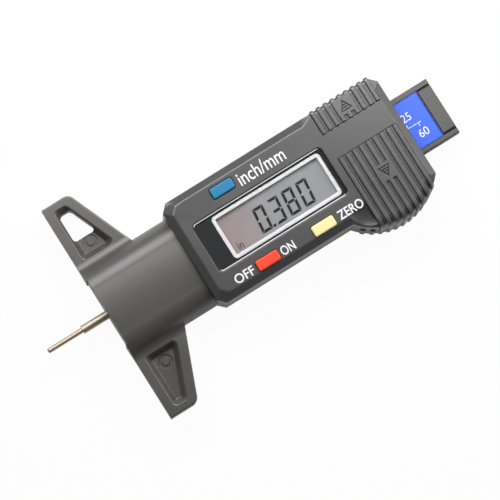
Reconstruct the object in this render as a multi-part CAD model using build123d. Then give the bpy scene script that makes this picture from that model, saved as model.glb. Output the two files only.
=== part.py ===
from build123d import *
import os
from math import cos, pi, sqrt

# Digital tire tread depth gauge, in millimetres.
# Origin: on the probe's axis, in the plane of the foot face that sits on the tread.
# +X runs along the probe towards the free end of the beam, +Y towards the unit button, +Z out of the display.

# ---------------------------------------------------------------- clearances
fit_gap = 0.05  # between pieces that are fixed to each other
beam_side_gap = 0.15  # between the beam and the sides of its channel
beam_face_gap = 0.2  # above and below the beam
button_gap = 0.1  # round a button in its slot
cover_gap = 0.1  # round a cover that slides off
probe_gap = 0.06  # radial, probe in the bush
screw_gap = 0.02  # radial, screw shank in its hole
spring_gap = 0.03  # between the drag spring and the beam

# ---------------------------------------------------------------- foot and barrel
foot_half_span = 30.0
arm_tip_depth = 7.7  # along X at the tip
arm_root_depth = 14.9  # along X where the arm meets the barrel
arm_top = 2.5
arm_bottom = -3.0
arm_corner_radius = 2.2
arm_edge_radius = 0.4

barrel_half_width = 12.3
barrel_top = 6.5  # at the shoulders
barrel_crown = 0.4  # rise of the middle above the shoulders
barrel_lift = 0.3  # barrel's underside above the rest plane
shoulder_radius = 6.0
keel_radius = 4.0
blend_radius_top = 3.0
blend_radius_bottom = 2.5

nose_recess_width = 18.0
nose_recess_depth = 0.35
bush_width = 12.0
bush_height = 7.0
bush_thickness = 1.85
bush_corner_radius = 1.2
front_wall = 3.2  # foot face to the front end of the beam's channel

pocket_floor = 0.5
pocket_left = 2.1
pocket_near = 13.8
pocket_tip_margin = 1.8  # along Y, pocket rim to the tip
pocket_slope_margin = 2.6  # along X, pocket rim to the arm's sloping edge
pocket_wall_run = 1.6  # how far the pocket's walls slope in
pocket_wall_steps = 6
pocket_wall_ease = 0.8  # 0 is a straight wall, 1 one that starts and ends level
pocket_corner_radius = 1.6
hole_left = 2.75
hole_near = 19.2
hole_tip_margin = 3.3  # along Y, hole to the tip
hole_slope_margin = 3.05  # along X, hole to the arm's sloping edge
hole_near_radius = 0.8
hole_far_radius = 1.2
ring_x = 6.3
ring_y = 17.4
ring_outer_radius = 1.8
ring_inner_radius = 0.95
ring_depth = 0.3

# ---------------------------------------------------------------- beam and probe
beam_width = 15.6
beam_thickness = 4.0
beam_end = 97.5
beam_edge = 0.3
push_travel = 8.6  # further out than at rest
pull_travel = 16.8  # back, until the probe is level with the foot
beam_end_clearance = 0.2
strip_recess_start = 28.0
strip_recess_half_width = 6.5
strip_thickness = 0.5
label_thickness = 0.12
label_sink = 0.08  # label's face below the beam's rims
end_cap_length = 3.45
end_cap_gap = 0.25
end_cap_chamfer = 0.65

probe_thin_radius = 0.65
probe_thick_radius = 1.075
probe_tip_out = 16.8
probe_step_out = 6.9
probe_grip_length = 13.0  # length held in the beam
probe_tip_round = 0.4
set_screw_radius = 0.8
set_screw_setback = 7.0
set_screw_sink = 0.15

stop_screw_x = 70.0
stop_screw_radius = 1.0
stop_groove_depth = 1.0
stop_screw_reach = 0.7  # into the groove
stop_groove_gap = 0.1

# ---------------------------------------------------------------- housing
housing_start = 24.4
housing_end = 86.3
housing_y_high = 14.9
housing_y_low = -13.7
housing_face = 9.5
bevel_width = 1.8
bevel_height = 1.5
corner_cut = 1.9
face_edge_radius = 0.7  # where the bevel meets the face
opening_edge_radius = 0.15  # round the display's recess and the buttons' slots
flare_start = 64.5  # where the bevel begins to run out beside the port cover
side_wall = 1.5
top_wall = 1.6
bulge_x = 74.4
bulge_y = -3.8
scoop_x = 66.0
scoop_y = -15.0
scoop_radius = 9.0
scoop_depth = 1.35

plate_thickness = 2.2
rim_height = 1.2  # back rim stands proud of the back plate
plate_half_width = 12.0
plate_start = 27.5
plate_end = 84.5
plate_corner_radius = 2.0
back_label_start = 34.5
back_label_end = 62.5
back_label_half_width = 6.5
back_label_thickness = 0.12

# ---------------------------------------------------------------- display
board_thickness = 1.0
recess_start = 28.6
recess_end = 65.6
recess_half_width = 6.8
recess_depth = 0.9
recess_corner_radius = 1.2
window_thickness = 0.4
gasket_thickness = 0.15
frame_start = 33.45
frame_end = 64.5
frame_half_width = 6.0
frame_band = 1.0
frame_corner_radius = 1.1
frame_height = 1.0
frame_edge_radius = 0.2
lcd_thickness = 1.6
lcd_overlap = 0.4  # glass beyond the white frame's outer edge
zebra_width = 1.4

# ---------------------------------------------------------------- buttons
button_length = 6.2
button_width = 2.8
button_corner_radius = 0.5
button_edge_radius = 0.35
button_proud = 0.6
button_travel = 0.4
button_ear = 0.7
button_ear_height = 0.7
button_stem_radius = 1.0
unit_button_place = (39.9, 10.55)
power_button_place = (40.0, -10.3)
zero_button_place = (56.0, -10.4)
dome_radius = 1.6
dome_height = 0.35

# ---------------------------------------------------------------- board
board_start = 27.7
board_step_x = 66.2
board_end = 83.2
board_y_high = 12.9
board_y_low = -11.7
board_step_y = 2.4
chip_place = (49.0, 1.0)
chip_radius = 4.0
chip_height = 1.2
board_screw_places = ((48.0, -10.2), (50.5, 10.6))
board_screw_radius = 0.7
board_screw_head_radius = 1.2
board_screw_head_height = 0.6
board_screw_length = 3.6

# ---------------------------------------------------------------- grips and their covers
grip_start = 67.8
grip_end = 84.3
rib_pitch = 1.95
rib_width = 1.05
rib_height = 0.5
rib_edge_radius = 0.2
rib_proud = 0.35  # how far the ribs stand out of the side
side_rib_start = 63.6  # first rib on the side of the swelling
battery_grip_y = 1.65
port_grip_y = 8.75
skirt_thickness = 1.3
cup_skirt_gap = 0.85  # between the cell's holder and the battery cover's skirt
skirt_edge_radius = 2.4
tongue_reach = 0.35
tongue_height = 0.7
cover_edge_width = 0.85
arrow_base_width = 3.2
arrow_height = 2.9
arrow_groove = 0.3  # between the arrow's outline and its bars
arrow_bar_count = 4
arrow_depth = 0.4
arrow_pad_margin = 0.75  # smooth pad beyond the arrow, along Y
battery_arrow_y = -5.6  # the arrow's base line
port_arrow_y = 10.75
port_sill = 1.2  # port's lower edge above the parting plane
port_skirt_thickness = 0.9
port_pad_count = 5
port_pad_pitch = 2.5
port_pad_width = 1.5
port_pad_length = 2.2
port_pad_thickness = 0.1

# ---------------------------------------------------------------- cell and contacts
cell_radius = 5.8
cell_height = 5.4
cell_x = 76.0
cell_y = -10.0
cell_cap_radius = 5.0
cell_step = 0.4
cell_gap = 0.15
cup_wall = 1.0
cup_floor = 0.7
contact_thickness = 0.2
contact_width = 2.5
contact_minus_reach = 0.9  # over the board
contact_plus_reach = 2.6

# ---------------------------------------------------------------- screws
cover_screw_places = ((31.0, 10.2), (31.0, -10.2), (63.0, 10.2), (63.0, -10.2))
cover_screw_radius = 0.8
cover_screw_bite = 4.0  # into the cover's boss
cover_boss_radius = 2.2
plate_screw_places = ((81.5, 10.2), (81.5, -10.2))
plate_screw_bite = 3.0
back_head_radius = 1.6
back_head_height = 0.8
slot_width = 0.5
slot_depth = 0.35
stop_head_radius = 1.8

# ---------------------------------------------------------------- drag spring
drag_spring_start = 42.0
drag_spring_end = 58.0
drag_spring_pocket = 1.2
drag_spring_thickness = 0.2
drag_spring_half_height = 1.1

# ---------------------------------------------------------------- worked out from the sizes above
beam_half = beam_width / 2
beam_top = beam_thickness / 2
parting = beam_top + beam_face_gap
channel_half = beam_half + beam_side_gap
plate_bottom = -parting - plate_thickness
rest_plane = plate_bottom - rim_height
barrel_bottom = rest_plane + barrel_lift
beam_start = front_wall + beam_end_clearance + push_travel
board_top = parting + board_thickness
ceiling = housing_face - top_wall
recess_floor = housing_face - recess_depth
gasket_top = recess_floor + gasket_thickness
frame_bottom = recess_floor - frame_height
lcd_bottom = frame_bottom - lcd_thickness
strip_floor = beam_top - label_sink - label_thickness - strip_thickness
cap_start = beam_end - end_cap_length
cell_bottom = board_top + contact_thickness
cell_top = cell_bottom + cell_height
cover_underside = cell_top + cell_gap
rib_top = housing_face + rib_height
cup_inner = cell_radius + cell_gap
cup_outer = cup_inner + cup_wall
cup_offset = sqrt((cell_x - bulge_x) ** 2 + (cell_y - bulge_y) ** 2)
bulge_radius = cup_offset + cup_outer + cup_skirt_gap + skirt_thickness
grip_middle = (grip_start + grip_end) / 2
port_bottom = parting + port_sill


def block(x_span, y_span, z_span):
    """A box from three (low, high) spans."""
    size = [span[1] - span[0] for span in (x_span, y_span, z_span)]
    middle = [(span[1] + span[0]) / 2 for span in (x_span, y_span, z_span)]
    return Pos(*middle) * Box(*size)


def slab(sketch, low, high):
    """A flat outline raised from one height to another."""
    return extrude(Pos(0, 0, low) * sketch, amount=high - low, dir=(0, 0, 1))


def rod(x, y, radius, low, high):
    """A round bar standing along Z."""
    return Pos(x, y, (low + high) / 2) * Cylinder(radius, high - low)


def rod_along_x(radius, start, end):
    """A round bar on the probe's axis."""
    return Pos((start + end) / 2, 0, 0) * Rot(0, 90, 0) * Cylinder(radius, end - start)


def rounded_rectangle(x_span, y_span, radius):
    """A rectangle with rounded corners, from its spans."""
    length = x_span[1] - x_span[0]
    width = y_span[1] - y_span[0]
    middle = Pos((x_span[0] + x_span[1]) / 2, (y_span[0] + y_span[1]) / 2)
    return middle * RectangleRounded(length, width, radius)


def polygon(*points):
    """A flat face from its corner points."""
    return make_face(Polyline(*points, close=True))


# ---------------------------------------------------------------- foot, barrel and lower housing
def barrel_profile():
    """Section of the barrel: a crowned top, round shoulders and a flatter keel."""
    top_flat = barrel_half_width - shoulder_radius
    keel_flat = barrel_half_width - keel_radius
    shoulder_z = barrel_top - shoulder_radius
    keel_z = barrel_bottom + keel_radius
    diagonal = sqrt(0.5)
    right_shoulder = (top_flat + shoulder_radius * diagonal, shoulder_z + shoulder_radius * diagonal)
    right_keel = (keel_flat + keel_radius * diagonal, keel_z - keel_radius * diagonal)
    edges = [
        ThreePointArc((-top_flat, barrel_top), (0, barrel_top + barrel_crown), (top_flat, barrel_top)),
        ThreePointArc((top_flat, barrel_top), right_shoulder, (barrel_half_width, shoulder_z)),
        Line((barrel_half_width, shoulder_z), (barrel_half_width, keel_z)),
        ThreePointArc((barrel_half_width, keel_z), right_keel, (keel_flat, barrel_bottom)),
        Line((keel_flat, barrel_bottom), (-keel_flat, barrel_bottom)),
        ThreePointArc(
            (-keel_flat, barrel_bottom), (-right_keel[0], right_keel[1]), (-barrel_half_width, keel_z)
        ),
        Line((-barrel_half_width, keel_z), (-barrel_half_width, shoulder_z)),
        ThreePointArc(
            (-barrel_half_width, shoulder_z), (-right_shoulder[0], right_shoulder[1]), (-top_flat, barrel_top)
        ),
    ]
    return Plane.YZ * make_face(Curve() + edges)


def blend_section(corner_y, corner_z, corner_radius, blend_radius, plate_z, side):
    """Section of the hollow corner between the barrel and one face of an arm.

    side is 1 for the arm's upper face and -1 for its lower one.
    """
    rise = plate_z + side * blend_radius - corner_z
    reach = sqrt((corner_radius + blend_radius) ** 2 - rise**2)
    share = corner_radius / (corner_radius + blend_radius)
    centre = (corner_y + reach, plate_z + side * blend_radius)
    on_barrel = (corner_y + reach * share, corner_z + rise * share)
    on_plate = (corner_y + reach, plate_z)
    inside = (corner_y, plate_z)
    corner = polygon(inside, on_plate, centre, on_barrel)
    return corner - Pos(*centre) * Circle(blend_radius)


def blends():
    """The hollow corners along both sides of the barrel."""
    top = blend_section(
        barrel_half_width - shoulder_radius,
        barrel_top - shoulder_radius,
        shoulder_radius,
        blend_radius_top,
        arm_top,
        1,
    )
    bottom = blend_section(
        barrel_half_width - keel_radius,
        barrel_bottom + keel_radius,
        keel_radius,
        blend_radius_bottom,
        arm_bottom,
        -1,
    )
    one_side = [extrude(Plane.YZ * section, amount=arm_root_depth) for section in (top, bottom)]
    return one_side + [mirror(piece, about=Plane.XZ) for piece in one_side]


def arm_outline():
    """Plan of both arms, with rounded tips."""
    corners = [
        (0, -foot_half_span),
        (arm_tip_depth, -foot_half_span),
        (arm_root_depth, -barrel_half_width),
        (arm_root_depth, barrel_half_width),
        (arm_tip_depth, foot_half_span),
        (0, foot_half_span),
    ]
    outline = polygon(*corners)
    tips = outline.vertices().filter_by(lambda v: abs(v.Y) > foot_half_span - 0.01 and v.X > 0.01)
    return fillet(tips, arm_corner_radius)


def slope_x(y):
    """Where the arm's sloping edge lies at a distance y from the probe's axis."""
    run = (arm_root_depth - arm_tip_depth) / (foot_half_span - barrel_half_width)
    return arm_root_depth - (y - barrel_half_width) * run


def pocket_section(inset):
    """Plan of an arm's pocket, smaller all round by inset."""
    near = pocket_near + inset
    far = foot_half_span - pocket_tip_margin - inset
    left = pocket_left + inset
    margin = pocket_slope_margin + inset
    outline = polygon((left, near), (slope_x(near) - margin, near), (slope_x(far) - margin, far), (left, far))
    return fillet(outline.vertices(), min(pocket_corner_radius, (slope_x(far) - margin - left) / 3))


def arm_pocket():
    """The pocket with softly curved walls that lightens an arm."""
    sections = []
    for step in range(pocket_wall_steps, -1, -1):
        part = step / pocket_wall_steps
        eased = (1 - cos(pi * part)) / 2
        fall = pocket_wall_ease * eased + (1 - pocket_wall_ease) * part
        level = arm_top - (arm_top - pocket_floor) * fall
        sections.append(Pos(0, 0, level) * pocket_section(pocket_wall_run * part))
    return loft(sections)


def ring_mark():
    """The shallow ring in a pocket's floor."""
    ring = Circle(ring_outer_radius) - Circle(ring_inner_radius)
    return slab(Pos(ring_x, ring_y) * ring, pocket_floor - ring_depth, pocket_floor)


def hang_hole():
    """The hole through one arm."""
    hole_far = foot_half_span - hole_tip_margin
    near_right = slope_x(hole_near) - hole_slope_margin
    far_right = slope_x(hole_far) - hole_slope_margin
    outline = polygon(
        (hole_left, hole_near),
        (near_right, hole_near),
        (far_right, hole_far),
        (hole_left, hole_far),
    )
    near = outline.vertices().filter_by(lambda v: v.Y < hole_near + 0.01)
    outline = fillet(near, hole_near_radius)
    far = outline.vertices().filter_by(lambda v: v.Y > hole_far - 0.01)
    outline = fillet(far, hole_far_radius)
    return slab(outline, arm_bottom - 1, arm_top + 1)


def foot():
    """The foot with its two arms and the barrel."""
    plan = slab(arm_outline(), arm_bottom, arm_top)
    rims = plan.edges().filter_by(lambda e: abs(e.center().Z) > 0.01 and e.center().X > 0.01)
    rims = rims.filter_by(lambda e: abs(e.center().Y) > barrel_half_width)
    rims = rims.filter_by(lambda e: e.bounding_box().size.Z < 0.01)
    body = fillet(rims, arm_edge_radius)
    body += extrude(barrel_profile(), amount=housing_start)
    reach = block((0, arm_root_depth), (-foot_half_span, foot_half_span), (barrel_bottom, barrel_top))
    fence = slab(arm_outline(), barrel_bottom, barrel_top)
    for piece in blends():
        body += piece & fence & reach
    pocket = arm_pocket()
    mark = ring_mark()
    for cut in (pocket, mirror(pocket, about=Plane.XZ), mark, mirror(mark, about=Plane.XZ), hang_hole()):
        body -= cut
    half_recess = nose_recess_width / 2
    body -= block((-1, nose_recess_depth), (-half_recess, half_recess), (rest_plane, housing_face))
    return body


def bulge_circle(radius):
    """The round swelling over the cell, as a disc."""
    return Pos(bulge_x, bulge_y) * Circle(radius)


def bulge_region(radius):
    """The part of that disc that lies below the middle of the housing and short of its end."""
    span_x = (bulge_x - radius, housing_end)
    width = span_x[1] - span_x[0]
    fence = Pos((span_x[0] + span_x[1]) / 2, bulge_y - radius / 2) * Rectangle(width, radius)
    return bulge_circle(radius) & fence


def housing_outline(inset, flare=None):
    """Plan of the housing, smaller all round by inset.

    flare is a smaller inset, or 0, that the side beside the port cover has instead.
    """
    start = housing_start + inset
    end = housing_end - inset
    high = housing_y_high - inset
    low = housing_y_low + inset
    cut = corner_cut
    side = [(end - cut, high), (start + cut, high)]
    if flare is not None:
        flared = housing_y_high - flare
        side = [(end - cut, flared), (grip_start, flared), (flare_start, high), (start + cut, high)]
    right_corners = [(start + cut, low), (end, low), (end, high - cut)]
    left_corners = [(start, high - cut), (start, low + cut)]
    box = polygon(*right_corners, *side, *left_corners)
    disc = bulge_region(bulge_radius - inset)
    if inset > 0:
        keep = polygon((start, low - bulge_radius), (end, low - bulge_radius), (end, high), (start, high))
        disc = disc & keep
    return box + disc


def rib_spans(start, end):
    """Where the ribs lie along X between two ends, in step with the middle of the grips."""
    count = int((end - start) / rib_pitch) + 1
    spans = []
    for index in range(-count, count + 1):
        x = grip_middle + index * rib_pitch
        low = max(x - rib_width / 2, start)
        high = min(x + rib_width / 2, end)
        if high - low > rib_width / 4:
            spans.append((low, high))
    return spans


def rounded_rib(rib):
    """A rib with the edges of its two flat sides rounded."""
    sides = rib.faces().filter_by(Axis.X)
    return fillet([edge for side in sides for edge in side.edges()], rib_edge_radius)


def bulge_ribs(end, low, high):
    """Upright ribs round the side of the swelling, up to a given end along X."""
    ring = bulge_region(bulge_radius + rib_proud) - bulge_region(bulge_radius - side_wall / 2)
    far = bulge_y - bulge_radius - rib_proud - 1
    band = slab(ring, low, high)
    blanks = [block(span, (far, housing_y_low), (low, high)) for span in rib_spans(side_rib_start, end)]
    return [rounded_rib(band & blank) for blank in blanks]


def battery_zone(gap, low, high):
    """Space over the cell that belongs to the battery cover, wider by gap all round."""
    far = bulge_y - bulge_radius - rib_proud - 1
    return block((grip_start - gap, grip_end + gap), (far, battery_grip_y + gap), (low, high))


def port_zone(gap, low, high):
    """Space over the data port that belongs to the port cover, wider by gap all round."""
    far = housing_y_high + rib_proud + 1
    return block((grip_start - gap, grip_end + gap), (port_grip_y - gap, far), (low, high))


def plate_outline(gap):
    """Plan of the back plate, larger all round by gap."""
    x_span = (plate_start - gap, plate_end + gap)
    y_span = (-plate_half_width - gap, plate_half_width + gap)
    return rounded_rectangle(x_span, y_span, plate_corner_radius)


def make_base_frame():
    """Foot, barrel and the lower half of the housing, with the beam's channel."""
    body = foot() + slab(housing_outline(0), rest_plane, parting)
    for rib in bulge_ribs(grip_end, rest_plane + rib_height, parting):
        body += rib
    body -= block((front_wall, housing_start), (-channel_half, channel_half), (-parting, parting))
    body -= block((housing_start, housing_end + 1), (-channel_half, channel_half), (-parting, parting + 1))
    body -= slab(plate_outline(fit_gap), rest_plane - 1, -parting)
    body -= bulge_hollow()
    body -= bush_block(fit_gap)
    body -= rod_along_x(probe_thick_radius + 4 * probe_gap, 0, front_wall + 1)
    spring_z = (-drag_spring_half_height - fit_gap, drag_spring_half_height + fit_gap)
    pocket_y = (channel_half - 1, channel_half + drag_spring_pocket)
    body -= block((drag_spring_start - fit_gap, drag_spring_end + fit_gap), pocket_y, spring_z)
    for x, y in cover_screw_places:
        body -= rod(x, y, cover_screw_radius + screw_gap, rest_plane, parting + 1)
    for x, y in plate_screw_places:
        body -= rod(x, y, cover_screw_radius + screw_gap, -parting - 1, -parting + plate_screw_bite)
    for x, y in board_screw_places:
        low = board_top - board_screw_length
        body -= rod(x, y, board_screw_radius + screw_gap, low, parting + 1)
    return body


def bulge_hollow():
    """The hollow in the lower half of the swelling."""
    inner = bulge_region(bulge_radius - side_wall)
    depth = bulge_radius
    middle = (grip_start + grip_end) / 2
    fence = Pos(middle, housing_y_low - depth / 2) * Rectangle(grip_end - grip_start, depth)
    return slab(inner & fence, rest_plane + side_wall, parting + 1)


def bush_block(gap):
    """The block of the probe's bush, larger all round by gap."""
    outline = RectangleRounded(bush_width + 2 * gap, bush_height + 2 * gap, bush_corner_radius)
    return extrude(Plane.YZ.offset(nose_recess_depth) * outline, amount=bush_thickness + gap)


def make_nose_plate():
    """The bush that guides the probe through the foot face."""
    return bush_block(0) - rod_along_x(probe_thick_radius + probe_gap, -1, front_wall)


# ---------------------------------------------------------------- upper housing
def cup():
    """Round holder for the cell, on its floor."""
    floor_y = (housing_y_low, battery_grip_y)
    floor_x = (board_step_x + 4 * fit_gap, housing_end - side_wall)
    floor = block(floor_x, floor_y, (board_top - cup_floor, board_top))
    ring = rod(cell_x, cell_y, cup_outer, board_top - cup_floor, cell_top - cell_step)
    return floor + ring - rod(cell_x, cell_y, cup_inner, board_top, cell_top)


def top_face(body):
    """The highest face of a body."""
    return body.faces().sort_by(Axis.Z)[-1]


def make_front_cover():
    """Upper half of the housing, bevelled, with the openings for display, buttons and covers."""
    bevel_foot = housing_face - bevel_height
    body = slab(housing_outline(0), parting, bevel_foot)
    low = Pos(0, 0, bevel_foot) * housing_outline(0, 0).face()
    high = Pos(0, 0, housing_face) * housing_outline(bevel_width, 0).face()
    body += loft([low, high], ruled=True)
    body = fillet(top_face(body).outer_wire().edges(), face_edge_radius)
    recess = rounded_rectangle(
        (recess_start, recess_end), (-recess_half_width, recess_half_width), recess_corner_radius
    )
    body -= slab(recess, recess_floor, housing_face + 1)
    for place in (unit_button_place, power_button_place, zero_button_place):
        body -= slab(button_outline(place, button_gap), ceiling - 1, housing_face + 1)
    rims = [edge for opening in top_face(body).inner_wires() for edge in opening.edges()]
    body = fillet(rims, opening_edge_radius)
    for rib in bulge_ribs(grip_start - cover_gap, parting, bevel_foot - bevel_height):
        body += rib
    body -= Pos(scoop_x, scoop_y, housing_face - scoop_depth + scoop_radius) * Sphere(scoop_radius)
    body -= slab(housing_outline(side_wall), parting - 1, ceiling)
    body -= battery_zone(cover_gap, parting - 1, rib_top + 1)
    body -= battery_tongue_zone(cover_gap)
    body += cup()
    body -= port_zone(cover_gap, port_bottom, rib_top + 1)
    body -= port_tongue_zone(cover_gap)
    body -= slab(display_frame_outline(fit_gap), ceiling - 1, housing_face + 1)
    for x, y in cover_screw_places:
        body += rod(x, y, cover_boss_radius, parting, ceiling + fit_gap)
        body -= rod(x, y, cover_screw_radius + screw_gap, parting - 1, parting + cover_screw_bite)
    body -= contact_plus_slot()
    body -= contact_minus_slot()
    return body


def battery_tongue_zone(gap):
    """Where the battery cover's edges reach under the housing's face, larger by gap."""
    top = ceiling - fit_gap + gap
    low = ceiling - fit_gap - tongue_height - gap
    return battery_zone(tongue_reach + gap, low, top)


def port_tongue_zone(gap):
    """Where the port cover's edges reach under the housing's face, larger by gap."""
    top = ceiling - fit_gap + gap
    low = ceiling - fit_gap - tongue_height - gap
    return port_zone(tongue_reach + gap, low, top)


def button_outline(place, gap):
    """Plan of a button, larger all round by gap."""
    outline = RectangleRounded(button_length + 2 * gap, button_width + 2 * gap, button_corner_radius + gap)
    return Pos(*place) * outline


def make_button(place):
    """A rounded key with ears that stop it under the housing's face, and a stem."""
    ear_top = ceiling - fit_gap
    ear_bottom = ear_top - button_ear_height
    cap = slab(button_outline(place, 0), ear_bottom, housing_face + button_proud)
    cap = fillet(top_face(cap).edges(), button_edge_radius)
    ears = Pos(place[0], place[1]) * Rectangle(button_length + 2 * button_ear, button_width)
    stem_bottom = board_top + dome_height + button_travel + fit_gap
    stem = rod(place[0], place[1], button_stem_radius, stem_bottom, ear_bottom)
    return cap + slab(ears, ear_bottom, ear_top) + stem


def make_button_domes():
    """The three metal domes that snap under the buttons."""
    cap_radius = (dome_radius**2 + dome_height**2) / (2 * dome_height)
    domes = []
    for x, y in (unit_button_place, power_button_place, zero_button_place):
        ball = Pos(x, y, board_top + dome_height - cap_radius) * Sphere(cap_radius)
        domes.append(ball & rod(x, y, 2 * dome_radius, board_top, board_top + 2 * dome_height))
    return domes


# ---------------------------------------------------------------- display
def display_frame_outline(gap):
    """Outer plan of the white frame, larger all round by gap."""
    x_span = (frame_start - gap, frame_end + gap)
    y_span = (-frame_half_width - gap, frame_half_width + gap)
    return rounded_rectangle(x_span, y_span, frame_corner_radius + gap)


def make_display_frame():
    """The white frame round the display."""
    x_span = (frame_start + frame_band, frame_end - frame_band)
    y_span = (-frame_half_width + frame_band, frame_half_width - frame_band)
    view = rounded_rectangle(x_span, y_span, frame_corner_radius / 4)
    ring = slab(display_frame_outline(0) - view, frame_bottom, recess_floor)
    return fillet(top_face(ring).edges(), frame_edge_radius)


def window_outline():
    """Plan of the clear window, which fits in the recess."""
    x_span = (recess_start + fit_gap, recess_end - fit_gap)
    y_span = (-recess_half_width + fit_gap, recess_half_width - fit_gap)
    return rounded_rectangle(x_span, y_span, recess_corner_radius)


def make_display_gasket():
    """The black adhesive ring that seals the window to the housing."""
    return slab(window_outline() - display_frame_outline(0), recess_floor, gasket_top)


def make_display_window():
    """The clear window."""
    return slab(window_outline(), gasket_top, gasket_top + window_thickness)


def make_lcd_panel():
    """The liquid crystal glass behind the white frame."""
    x_span = (frame_start - lcd_overlap, frame_end + lcd_overlap)
    y_span = (-frame_half_width - lcd_overlap, frame_half_width + lcd_overlap)
    return block(x_span, y_span, (lcd_bottom, frame_bottom))


def make_zebra_strips():
    """The two rubber strips that join the board to the glass."""
    x_span = (frame_start + frame_band, frame_end - frame_band)
    outer = frame_half_width + lcd_overlap
    z_span = (board_top, lcd_bottom)
    upper = block(x_span, (outer - zebra_width, outer), z_span)
    lower = block(x_span, (-outer, zebra_width - outer), z_span)
    return [upper, lower]


# ---------------------------------------------------------------- board
def make_circuit_board():
    """The board, stepped round the cell, with holes for the cover's bosses."""
    main = block((board_start, board_step_x), (board_y_low, board_y_high), (parting, board_top))
    side = block((board_step_x, board_end), (board_step_y, board_y_high), (parting, board_top))
    board = main + side
    for x, y in cover_screw_places:
        board -= rod(x, y, cover_boss_radius + cover_gap, parting - 1, board_top + 1)
    for x, y in board_screw_places:
        board -= rod(x, y, board_screw_radius + screw_gap, parting - 1, board_top + 1)
    return board


def make_chip_blob():
    """The chip under its drop of black resin."""
    cap_radius = (chip_radius**2 + chip_height**2) / (2 * chip_height)
    ball = Pos(chip_place[0], chip_place[1], board_top + chip_height - cap_radius) * Sphere(cap_radius)
    return ball & rod(chip_place[0], chip_place[1], 2 * chip_radius, board_top, board_top + 2 * chip_height)


def cross_cut(x, y, radius, top, depth):
    """Cross slot in a screw's head, cut down from top. A negative depth cuts up from below."""
    z_span = (min(top, top - depth), max(top, top - depth))
    arm = radius * 0.7
    half = slot_width / 2
    along = block((x - arm, x + arm), (y - half, y + half), z_span)
    return along + block((x - half, x + half), (y - arm, y + arm), z_span)


def make_board_screws():
    """The screws that hold the board down."""
    screws = []
    for x, y in board_screw_places:
        head_top = board_top + board_screw_head_height
        head = rod(x, y, board_screw_head_radius, board_top, head_top)
        shank = rod(x, y, board_screw_radius, board_top - board_screw_length, board_top)
        screws.append(head + shank - cross_cut(x, y, board_screw_head_radius, head_top, slot_depth))
    return screws


def make_port_pads():
    """The gold contact pads of the data port, at the edge of the board."""
    pads = []
    first = grip_middle - port_pad_pitch * (port_pad_count - 1) / 2
    for index in range(port_pad_count):
        x = first + index * port_pad_pitch
        half = port_pad_width / 2
        y_span = (board_y_high - port_pad_length, board_y_high)
        pads.append(block((x - half, x + half), y_span, (board_top, board_top + port_pad_thickness)))
    return pads


# ---------------------------------------------------------------- back
def make_back_plate():
    """The plate that closes the housing from behind."""
    plate = slab(plate_outline(0), plate_bottom, -parting)
    for x, y in cover_screw_places + plate_screw_places:
        plate -= rod(x, y, cover_screw_radius + screw_gap, plate_bottom - 1, parting)
    return plate - rod(stop_screw_x, 0, stop_screw_radius + screw_gap, plate_bottom - 1, 0)


def back_screw(x, y, head_radius, radius, top):
    """A screw with its head against the back plate."""
    head_bottom = plate_bottom - back_head_height
    head = rod(x, y, head_radius, head_bottom, plate_bottom)
    shank = rod(x, y, radius, plate_bottom, top)
    return head + shank - cross_cut(x, y, head_radius, head_bottom, -slot_depth)


def make_cover_screws():
    """The long screws that join back plate, base and front cover."""
    top = parting + cover_screw_bite - fit_gap
    return [back_screw(x, y, back_head_radius, cover_screw_radius, top) for x, y in cover_screw_places]


def make_plate_screws():
    """The short screws at the open end of the back plate."""
    top = -parting + plate_screw_bite - fit_gap
    return [back_screw(x, y, back_head_radius, cover_screw_radius, top) for x, y in plate_screw_places]


def make_stop_screw():
    """The screw whose tip runs in the beam's groove and ends its travel."""
    top = -beam_top + stop_screw_reach
    return back_screw(stop_screw_x, 0, stop_head_radius, stop_screw_radius, top)


def make_back_label():
    """The bare label on the back plate."""
    x_span = (back_label_start, back_label_end)
    y_span = (-back_label_half_width, back_label_half_width)
    outline = rounded_rectangle(x_span, y_span, 1)
    return slab(outline, plate_bottom - back_label_thickness, plate_bottom)


# ---------------------------------------------------------------- cell and contacts
def make_button_cell():
    """The cell: a can with a stepped cap on its lower side."""
    can = rod(cell_x, cell_y, cell_radius, cell_bottom + cell_step, cell_top)
    can = fillet(can.edges().sort_by(Axis.Z)[-1], cell_step)
    return can + rod(cell_x, cell_y, cell_cap_radius, cell_bottom, cell_bottom + cell_step)


def contact_minus_block(gap):
    """The strip under the cell that leads to the board, larger by gap."""
    x_span = (board_step_x - contact_minus_reach, cell_x)
    y_span = (cell_y - contact_width / 2 - gap, cell_y + contact_width / 2 + gap)
    return block(x_span, y_span, (board_top, cell_bottom + gap))


def contact_minus_slot():
    """Gap in the cup's wall for that strip."""
    return contact_minus_block(cover_gap)


def make_battery_contact_minus():
    """The strip under the cell."""
    return contact_minus_block(0)


def contact_plus_leg(gap):
    """The upright leg of the side contact, larger by gap."""
    near = cell_y + cell_radius + spring_gap
    x_span = (cell_x - contact_width / 2 - gap, cell_x + contact_width / 2 + gap)
    return block(x_span, (near, near + contact_thickness + gap), (board_top, cell_top - 2 * cell_step))


def contact_plus_foot(gap):
    """The flat leg of the side contact, larger by gap."""
    near = cell_y + cell_radius + spring_gap
    x_span = (cell_x - contact_width / 2 - gap, cell_x + contact_width / 2 + gap)
    y_span = (near, board_step_y + contact_plus_reach)
    return block(x_span, y_span, (board_top, board_top + contact_thickness + gap))


def contact_plus_slot():
    """Gap in the cup's wall for the side contact."""
    near = cell_y + cell_radius
    far = cell_y + cup_outer + fit_gap
    half = contact_width / 2 + cover_gap
    return block((cell_x - half, cell_x + half), (near, far), (board_top, cell_top))


def make_battery_contact_plus():
    """The bent strip that touches the side of the cell."""
    return contact_plus_leg(0) + contact_plus_foot(0)


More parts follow.
